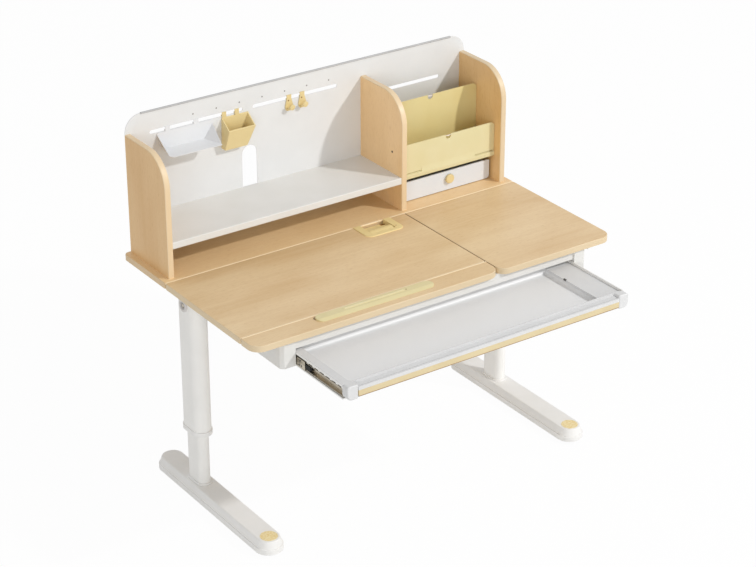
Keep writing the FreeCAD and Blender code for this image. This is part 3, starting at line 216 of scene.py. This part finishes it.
# Paler still, on the strip along the stop's rib: painted highlight on its raised top
cream_painted_highlight = skin("moulded_abs_cream_painted_highlight", "#EFE6C2", "#ECE2BB", gloss=0.38, **MOULD)
# Melamine-faced board: hard, even white with a slight pearl texture
white_melamine = skin("melamine_board_white", "#E4E3E0", "#E1E0DC", gloss=0.42, grain=1.5, relief=0.05)
# Extruded PVC strip in pale sand
sand_pvc = skin("extruded_pvc_sand", "#DAC9A0", "#D6C49A", gloss=0.42, **MOULD)
# Pale beech colour on strips in the two long seams: painted highlight for the lit far edge of each seam
pale_seam_painted_highlight = skin("pvc_beech_painted_highlight", "#FBE6C2", "#F6E0BA", gloss=0.45, **MOULD)
# Extruded PVC: plain mid grey, matt
grey_pvc = skin("extruded_pvc_grey", "#BEBEBE", "#B8B8B8", gloss=0.5, **DULL)
# The same PVC on the back panel's trim, a pale grey
light_pvc = skin("extruded_pvc_light_grey", "#DEDEDC", "#DADAD8", gloss=0.5, **DULL)
# Tan, matt: painted shadow, at the book stop's left end and under the drawer's front strip
tan_painted_shadow = skin("painted_shadow_tan_pvc", "#A88A63", "#9E805A", gloss=0.55, **FINE)
# Moulded soft PVC: faintly pink white, matt
blush_pvc = skin("moulded_soft_pvc_blush", "#EDE3DC", "#E9DED6", gloss=0.55, **FINE)
# Moulded nylon: mid grey with a dull sheen
ash_nylon = skin("moulded_nylon_ash", "#9A9794", "#918E8B", gloss=0.5, **FINE)
# The same nylon, charcoal
dark_nylon = skin("moulded_nylon_charcoal", "#4A4744", "#413E3C", gloss=0.5, **FINE)
# The same nylon, warm brown: painted shade in small recesses and gaps
umber_painted_shade = skin("painted_shade_umber_nylon", "#8F612B", "#855825", gloss=0.5, **FINE)
# Zinc-plated steel: pale warm grey metal, rolled streaks along its length
zinc_steel = skin("zinc_plated_steel", "#C9C1B2", "#AEA594", gloss=0.36, grain=3.0, relief=0.03,
                  drift=(6, 60, 6), metallic=1.0)
# Moulded rubber: black, matt
black_rubber = skin("moulded_rubber_black", "#232323", "#1E1E1E", gloss=0.8, grain=1.0, relief=0.2)

finishes = {
    board_beech: ["right_board", "front_strip", "tilt_board"],
    rear_beech_painted_light: ["rear_board"],
    left_beech: ["left_upright"],
    middle_beech: ["divider"],
    upright_beech: ["right_upright"],
    white_steel_painted_light: ["left_inner_column", "right_inner_column", "left_outer_column", "right_outer_column"],
    rail_steel_painted_shade: ["side_rails", "cross_beam", "front_rail", "middle_rail", "slide_boxes"],
    panel_steel_painted_shade: ["back_panel"],
    pale_grey_abs: ["drawer_front_rail", "drawer_end_caps"],
    tray_abs_painted_light: ["drawer_tray"],
    cool_abs: ["small_drawer"],
    cool_steel: ["wall_tray"],
    white_abs: ["left_foot", "right_foot", "column_flanges", "column_collars"],
    white_melamine: ["shelf"],
    butter_abs: ["small_drawer_knob", "pen_box", "left_hook", "right_hook"],
    bright_abs: ["handle_bezel", "release_paddle"],
    speckled_abs: ["foot_discs"],
    cream_abs: ["book_stop"],
    sand_pvc: ["drawer_strip"],
    lemon_steel: ["file_front_plate"],
    lemon_steel_painted_shade: ["file_rack"],
    light_pvc: ["panel_trim"],
    grey_pvc: ["small_drawer_glides", "lift_nuts"],
    grey_abs: ["crank_boss"],
    zinc_steel: ["foot_bolts", "drive_bearings", "drive_shaft", "left_lead_screw", "right_lead_screw",
                 "top_screws", "hutch_screws", "outer_slides", "middle_slides", "inner_slides",
                 "hinge_fixed_leaves", "hinge_moving_leaves", "hinge_pins", "tilt_guides", "tilt_struts",
                 "tilt_ears", "strut_rods"],
    black_rubber: ["foot_pads"],
}
for material, names in finishes.items():
    for name in names:
        nodes[name].data.materials.clear()
        nodes[name].data.materials.append(material)

# For each axis, the two axes across it and then the axis itself
ACROSS = {"x": (1, 2, 0), "y": (0, 2, 1), "z": (0, 1, 2)}
ROUND_STEPS = 5
TURN_STEPS = 28
CREASE = math.radians(40)


def corners_of(node):
    """A node's lowest and highest corners at rest, in millimetres."""
    return [[c / MM for c in end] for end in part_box(node)]


def rounded(corners):
    """A closed outline through (u, v, radius) corners, in millimetres, with each corner rounded."""
    line = []
    for i, (u, v, radius) in enumerate(corners):
        here = Vector((u, v))
        back = (Vector(corners[i - 1][:2]) - here).normalized()
        on = (Vector(corners[(i + 1) % len(corners)][:2]) - here).normalized()
        if not radius:
            line.append(here)
            continue
        half = back.angle(on) / 2
        centre = here + (back + on).normalized() * radius / math.sin(half)
        first = here + back * radius / math.tan(half) - centre
        last = here + on * radius / math.tan(half) - centre
        line += [centre + first.slerp(last, step / ROUND_STEPS) for step in range(ROUND_STEPS + 1)]
    return line


def slab(low, high, radius):
    """A rounded rectangle's outline between two corners, in millimetres."""
    return rounded([(low[0], low[1], radius), (high[0], low[1], radius), (high[0], high[1], radius),
                    (low[0], high[1], radius)])


def run(form, outline, axis, start, end):
    """Adds an outline run from start to end along an axis; its points lie across it, in millimetres."""
    u, v, w = ACROSS[axis]
    rings = []
    for place in (start, end):
        ring = []
        for point in outline:
            where = [0.0, 0.0, 0.0]
            where[u], where[v], where[w] = point[0] * MM, point[1] * MM, place * MM
            ring.append(form.verts.new(where))
        rings.append(ring)
        form.faces.new(ring)
    for i, vert in enumerate(rings[0]):
        form.faces.new((rings[0][i - 1], vert, rings[1][i], rings[1][i - 1]))


def turn(form, profile, axis, centre, ring=False):
    """Adds a turned form: (radius, place along the axis) pairs, in millimetres, spun about the axis through
    centre. A ring's profile closes on itself; any other begins and ends on the axis."""
    u, v, w = ACROSS[axis]
    rows = []
    for radius, place in profile:
        row = []
        for step in range(TURN_STEPS if radius else 1):
            angle = 2 * math.pi * step / TURN_STEPS
            where = [0.0, 0.0, 0.0]
            where[u] = (centre[0] + radius * math.cos(angle)) * MM
            where[v] = (centre[1] + radius * math.sin(angle)) * MM
            where[w] = place * MM
            row.append(form.verts.new(where))
        rows.append(row)
    for i in range(0 if ring else 1, len(rows)):
        one, two = rows[i - 1], rows[i]
        for step in range(TURN_STEPS):
            if len(one) == 1:
                loop = one[0], two[step], two[step - 1]
            elif len(two) == 1:
                loop = one[step - 1], one[step], two[0]
            else:
                loop = one[step - 1], one[step], two[step], two[step - 1]
            form.faces.new(loop)


def piece(name, body, finish, form):
    """Makes a detail piece of its form, in its finish, and lets it ride on the body that carries it."""
    bmesh.ops.recalc_face_normals(form, faces=form.faces)
    mesh = bpy.data.meshes.new(name)
    form.to_mesh(mesh)
    form.free()
    mesh.shade_smooth()
    mesh.set_sharp_from_angle(angle=CREASE)
    mesh.materials.append(finish)
    made = bpy.data.objects.new(name, mesh)
    bpy.context.scene.collection.objects.link(made)
    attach(made, body)


def seam_painted_highlights():
    """Pale strips along the two long seams in the top, clear of the tilting board's swing: painted highlight
    for the lit far edge of each seam.
    """
    top = corners_of("rear_board")[1][2]
    rear, front = corners_of("rear_board")[0][1], corners_of("front_strip")[1][1]
    left, gap = (corner[0] for corner in corners_of("tilt_board"))
    right = corners_of("right_board")[1][0]
    form = bmesh.new()
    run(form, slab((rear - 2.4, top - 4.5), (rear - 0.1, top - 0.3), 0.7), "x", left + 2, right - 2)
    run(form, slab((front - 1.7, top - 2.2), (front - 0.02, top - 0.2), 0.2), "x", left + 4, gap)
    piece("seam_painted_highlights", "desk", pale_seam_painted_highlight, form)


def panel_plugs():
    """Plugs in the back panel's row of holes: a dished face in front, a low domed head behind."""
    face, back = (corner[1] for corner in corners_of("back_panel"))
    holes, first, pitch, height = 7, -365, 76, 1052.5
    form = bmesh.new()
    for hole in range(holes):
        turn(form, [(0, face + 0.6), (1.5, face + 0.6), (2.0, face + 0.3), (2.45, face + 0.3), (2.45, back),
                    (4.2, back), (4.2, back + 0.9), (3.2, back + 1.5), (0, back + 1.7)],
             "y", (first + pitch * hole, height))
    piece("panel_plugs", "desk", ash_nylon, form)


def rack_trim():
    """The file rack's rolled front lip, joined to the plate between its two end slits, and the pads in its
    notches."""
    low, high = corners_of("file_front_plate")
    face, base, lip_height, slit_length = low[1], corners_of("file_rack")[0][2], 13.2, 74
    lip = base + lip_height
    form = bmesh.new()
    run(form, rounded([(face, base, 0), (face - 2.6, base, 1), (face - 2.6, lip, 0.6), (face - 0.9, lip, 0.6),
                       (face - 0.9, base + 2.6, 0.3), (face, base + 2.6, 0)]),
        "x", low[0] + 0.3, high[0] - 0.3)
    run(form, [(face - 2.3, base + 11), (face - 2.3, base + 14), (face - 1.4, base + 18),
               (face - 0.6, base + 23), (face, base + 29), (face, base + 11)],
        "x", low[0] + slit_length, high[0] - slit_length)
    piece("rack_lip", "desk", lemon_steel, form)
    form = bmesh.new()
    middle, half_width, plate_spacing = (low[0] + high[0]) / 2, 9.4, 92
    left, right = middle - half_width, middle + half_width
    for front, top in ((face, high[2]), (face + plate_spacing, corners_of("file_rack")[1][2])):
        run(form, rounded([(left, top - 13.9, 9), (right, top - 13.9, 9), (right, top - 2.5, 1),
                           (left, top - 2.5, 1)]), "y", front + 0.5, front + 2.5)
    piece("notch_pads", "desk", blush_pvc, form)


def hook_ends():
    """Each hook's round button on its upturned toe and the small dark eye in its tongue, a brown disc of
    painted shade.
    """
    for side, body in (("left", "hook_a"), ("right", "hook_b")):
        low, high = corners_of(side + "_hook")
        middle, tip, toe_length = (low[0] + high[0]) / 2, low[1], 17.5
        form = bmesh.new()
        turn(form, [(0, tip - 1.6), (6, tip - 1.6), (8.2, tip - 0.6), (8.8, tip + 1), (8.2, tip + 2.4),
                    (0, tip + 2.4)], "y", (middle, low[2] + 14.5))
        piece(side + "_hook_button", body, butter_abs, form)
        form = bmesh.new()
        face = tip + toe_length
        turn(form, [(0, face - 0.25), (1.3, face - 0.25), (1.9, face - 0.5), (2.2, face - 0.3),
                    (2.2, face + 0.4), (0, face + 0.4)], "y", (middle - 2.5, low[2] + 31))
        piece(side + "_hook_eye", body, umber_painted_shade, form)


def panel_channel():
    """The grey channel that caps the back panel's straight top edge."""
    low, high = corners_of("panel_trim")
    form = bmesh.new()
    run(form, slab((low[1] - 0.9, high[2] - 4), (high[1] + 0.5, high[2] - 0.1), 0.6), "x", low[0], high[0])
    piece("panel_channel", "desk", grey_pvc, form)


def pin_socket():
    """The flanged socket in the divider's pin hole."""
    face, hole = corners_of("divider")[0][0], (295.25, 856)
    end = face + 8.5
    form = bmesh.new()
    turn(form, [(1.9, face - 0.4), (3.4, face - 0.4), (3.4, face), (2.45, face), (2.45, end), (1.9, end)],
         "x", hole, ring=True)
    turn(form, [(0, end - 1), (1.95, end - 1), (1.95, end), (0, end)], "x", hole)
    piece("pin_socket", "desk", dark_nylon, form)


def crank_collar():
    """The ring that closes the crank boss round the hexagon end."""
    low, high = corners_of("crank_boss")
    middle = [(low[1] + high[1]) / 2, (low[2] + high[2]) / 2]
    form = bmesh.new()
    turn(form, [(7.6, low[0] + 1.6), (8.2, low[0] + 1.0), (11.9, low[0] + 1.0), (11.9, high[0] - 0.6),
                (7.6, high[0] - 0.6)], "x", middle, ring=True)
    piece("crank_collar", "desk", dim_abs, form)


def slide_details():
    """Both drawer slides: dark marks and a black ball cage on the middle member, and on the drawer the tabs
    above the slide and the skirt below it."""
    marks, cages, skirts = (bmesh.new() for _ in range(3))
    middle_low, middle_high = corners_of("middle_slides")
    inner_low, inner_high = corners_of("inner_slides")
    body_side, skirt_foot, skirt_head, slide_foot = 458.5, 586, 604.6, 589.6
    cage_inside, cage_outside, tooth_inside, tooth_outside = 462.2, 469.0, 468.5, 469.25
    teeth, tooth_pitch, tooth_width = 4, 6, 3
    flange_inside, flange_outside, flange_foot, flange_head = 468.4, 470.8, 623.8, 630
    tabs, first_tab, tab_pitch, tab_width, tab_foot, tab_head = 7, -444, 27, 8, 621.2, 624.6
    y, z = middle_low[1], middle_low[2]
    for side in (-1, 1):
        outer = side * middle_high[0]
        web = sorted((outer, outer + side * 0.15))
        for low, high in (((y + 17, z + 19.5), (y + 31, z + 22.5)),
                          ((y + 22.5, z + 13.5), (y + 25.5, z + 20)),
                          ((y + 14, z + 4), (y + 18.5, z + 10)),
                          ((y + 22, z + 4), (y + 33, z + 6.8)),
                          ((y + 22, z + 8), (y + 26, z + 11))):
            run(marks, slab(low, high, 0.8), "x", *web)
        run(cages, slab((y - 24, z + 4.4), (y + 14, z + 21.6), 2.5), "x",
            *sorted((side * cage_inside, side * cage_outside)))
        for tooth in range(teeth):
            start = y - 22 + tooth_pitch * tooth
            run(cages, slab((start, z + 6.5), (start + tooth_width, z + 19.5), 1.2), "x",
                *sorted((side * tooth_inside, side * tooth_outside)))
        inside, wall, edge = (side * (body_side + out) for out in (-2.4, -0.1, 10))
        run(skirts, [(inside, skirt_foot), (edge, skirt_foot), (edge, slide_foot), (wall, slide_foot),
                     (wall, skirt_head), (inside, skirt_head)], "y", inner_low[1] - 1, inner_high[1])
        near, far = sorted((side * flange_outside, side * flange_inside))
        run(skirts, slab((near, flange_foot), (far, flange_head), 0.4), "y", inner_low[1] - 1, inner_high[1])
        for tab in range(tabs):
            start = first_tab + tab_pitch * tab
            run(skirts, slab((near, tab_foot), (far, tab_head), 0.4), "y", start, start + tab_width)
    piece("slide_marks", "slide_middles", dark_nylon, marks)
    piece("ball_cages", "slide_middles", black_rubber, cages)
    piece("tray_skirts", "main_drawer", white_abs, skirts)


def gap_painted_shade():
    """A brown strip on the fixed side of the gap between the tilting board and the right board: painted shade
    in the gap.
    """
    side, top = corners_of("right_board")[0][0], corners_of("right_board")[1][2]
    form = bmesh.new()
    run(form, slab((side - 0.7, top - 17), (side, top - 2.2), 0.2), "y", corners_of("front_strip")[0][1] + 30,
        corners_of("tilt_board")[1][1])
    piece("gap_painted_shade", "desk", umber_painted_shade, form)


def paddle_grip():
    """The release paddle's crowned grip, the dark finger hole behind it and the bezel's small screw; the
    finger hole's brown patch and the screw's brown are painted shade.
    """
    low, high = corners_of("release_paddle")
    front, rear, steps = low[1] + 5, low[1] + 43, 14
    start_height, fall, rise = 683.2, 6.2, 5.2
    underside_front, underside_rear = 682.4, 676.4
    # Heights of the finger hole's top and underside, at its front and rear edges
    hole_front, hole_rear = (676.4, 675.9), (674.15, 673.7)
    crown = []
    for step in range(steps + 1):
        share = step / steps
        crown.append((front + (rear - front) * share,
                      start_height - fall * share + rise * math.sin(math.pi * share)))
    form = bmesh.new()
    run(form, crown + [(rear, underside_rear), (front, underside_front)], "x", low[0] + 5, high[0] - 4)
    piece("paddle_grip", "paddle", bright_abs, form)
    form = bmesh.new()
    run(form, [(rear + 6, hole_front[0]), (high[1] - 3, hole_rear[0]), (high[1] - 3, hole_rear[1]),
               (rear + 6, hole_front[1])], "x", high[0] - 19, high[0] - 5)
    piece("finger_hole", "paddle", umber_painted_shade, form)
    top, screw = corners_of("handle_bezel")[1][2], (129, 171)
    form = bmesh.new()
    turn(form, [(0, top - 1), (1.9, top - 1), (1.9, top + 0.1), (1.2, top + 0.35), (0, top + 0.35)],
         "z", screw)
    piece("bezel_screw", "tilt_top", umber_painted_shade, form)


def stop_trim():
    """The book stop's pale strip on its rib, a painted highlight, its brown end dot, painted shade, and the
    tan disc at its left end, painted shadow.
    """
    rib, board, flat = corners_of("book_stop")[1][2], corners_of("front_strip")[1][2], 689.5
    dot, shadow_spot = (-88.5, -184.2), (-379, -181.5)
    highlight_low, highlight_high = (-292, -186.4), (-96, -181.1)
    form = bmesh.new()
    run(form, slab(highlight_low, highlight_high, 2.6), "z", rib - 0.6, rib + 0.4)
    piece("stop_rib_painted_highlight", "desk", cream_painted_highlight, form)
    form = bmesh.new()
    turn(form, [(0, flat - 1), (2.2, flat - 1), (2.2, flat + 0.1), (1.4, flat + 0.35), (0, flat + 0.35)],
         "z", dot)
    piece("stop_dot", "desk", umber_painted_shade, form)
    form = bmesh.new()
    turn(form, [(0, board - 0.2), (8.5, board - 0.2), (8.5, board + 0.1), (7.5, board + 0.3),
                (0, board + 0.3)], "z", shadow_spot)
    piece("stop_end_painted_shadow", "desk", tan_painted_shadow, form)


def drawer_trim():
    """The tan strip under the drawer's front strip, painted shadow of the gap below it, and the small catch
    on the ledge's edge.
    """
    low, high = corners_of("drawer_strip")
    riser, ledge, catch_front, catch_rear = 389, 623.5, -289, -279
    form = bmesh.new()
    run(form, slab((low[1] + 0.1, low[2] - 1.3), (low[1] + 1.2, low[2]), 0.4), "x", low[0] + 1, high[0] - 1)
    piece("strip_painted_shadow", "main_drawer", tan_painted_shadow, form)
    form = bmesh.new()
    run(form, rounded([(riser - 0.6, ledge - 3, 0.3), (riser, ledge - 3, 0), (riser, ledge, 0),
                       (riser + 2.5, ledge, 0), (riser + 2.5, ledge + 0.5, 0.2),
                       (riser - 0.6, ledge + 0.5, 0.4)]),
        "y", catch_front, catch_rear)
    piece("ledge_catch", "main_drawer", dark_nylon, form)


seam_painted_highlights()
panel_plugs()
hook_ends()
panel_channel()
rack_trim()
pin_socket()
crank_collar()
slide_details()
gap_painted_shade()
paddle_grip()
stop_trim()
drawer_trim()


def lamp(name, size, power, place, target):
    """A soft lamp of this size, width and height in metres, that hangs at place and points at target."""
    data = bpy.data.lights.new(name, "AREA")
    data.shape = "ELLIPSE" if size[0] == size[1] else "RECTANGLE"
    data.size, data.size_y = size
    data.energy = power
    made = bpy.data.objects.new(name, data)
    made.location = place
    made.rotation_mode = "QUATERNION"
    made.rotation_quaternion = (Vector(target) - Vector(place)).to_track_quat("-Z", "Y")
    made.visible_camera = False
    bpy.context.scene.collection.objects.link(made)


SURROUND_LIGHT = 0.56
FLOOR_WHITE = 0.965


def studio():
    """A white floor that keeps a faint shadow, a white surround, one small key lamp from the front right and
    a broad weak one in front."""
    bpy.ops.mesh.primitive_plane_add(size=40)
    floor = bpy.context.object
    floor.name = "floor"
    material, tree = new_material("studio_floor_white")
    world = bpy.data.worlds.new("surround")
    world.use_nodes = True
    world.node_tree.nodes.clear()
    bpy.context.scene.world = world
    seen = {}
    for part in (tree, world.node_tree):
        path = add(part, "ShaderNodeLightPath", {})
        by_eye = path.outputs["Is Camera Ray"]
        in_gloss = path.outputs["Is Glossy Ray"]
        in_glass = path.outputs["Is Transmission Ray"]
        direct = add(part, "ShaderNodeMath", {0: by_eye, 1: in_gloss}, operation="MAXIMUM")
        seen[part] = add(part, "ShaderNodeMath", {0: direct.outputs[0], 1: in_glass}, operation="MAXIMUM")
    share = add(tree, "ShaderNodeMath", {0: seen[tree].outputs[0], 1: FLOOR_WHITE}, operation="MULTIPLY")
    paint = add(tree, "ShaderNodeBsdfDiffuse", {"Color": linear("#F4F4F3")})
    white = add(tree, "ShaderNodeEmission", {"Color": linear("#FFFFFF"), "Strength": 1.0})
    mix = add(tree, "ShaderNodeMixShader", {0: share.outputs[0], 1: paint.outputs[0], 2: white.outputs[0]})
    add(tree, "ShaderNodeOutputMaterial", {"Surface": mix.outputs[0]})
    floor.data.materials.append(material)
    tree = world.node_tree
    soft = add(tree, "ShaderNodeBackground", {"Color": linear("#FFFFFF"), "Strength": SURROUND_LIGHT})
    white = add(tree, "ShaderNodeBackground", {"Color": linear("#FFFFFF"), "Strength": 1.0})
    mix = add(tree, "ShaderNodeMixShader", {0: seen[tree].outputs[0], 1: soft.outputs[0],
                                            2: white.outputs[0]})
    add(tree, "ShaderNodeOutputWorld", {"Surface": mix.outputs[0]})
    lamp("key", size=(0.4, 0.4), power=290, place=(3.912, -4.868, 5.257), target=(0, 0, 0.6))
    lamp("front_fill", size=(5.0, 3.0), power=180, place=(-6.0, -7.5, 2.5), target=(0, 0, 0.5))


def camera():
    """The camera, from the front left and above."""
    data = bpy.data.cameras.new("camera")
    data.lens = 104.597
    data.sensor_width = 36.0
    azimuth, elevation = math.radians(-34.877), math.radians(26.562)
    back = Vector((math.sin(azimuth) * math.cos(elevation), -math.cos(azimuth) * math.cos(elevation),
                   math.sin(elevation)))
    made = bpy.data.objects.new("camera", data)
    made.location = (-3.2027, -4.51845, 3.3746)
    made.rotation_mode = "QUATERNION"
    made.rotation_quaternion = (-back).to_track_quat("-Z", "Y")
    bpy.context.scene.collection.objects.link(made)
    bpy.context.scene.camera = made


studio()
camera()
bpy.context.scene.view_settings.view_transform = "Standard"
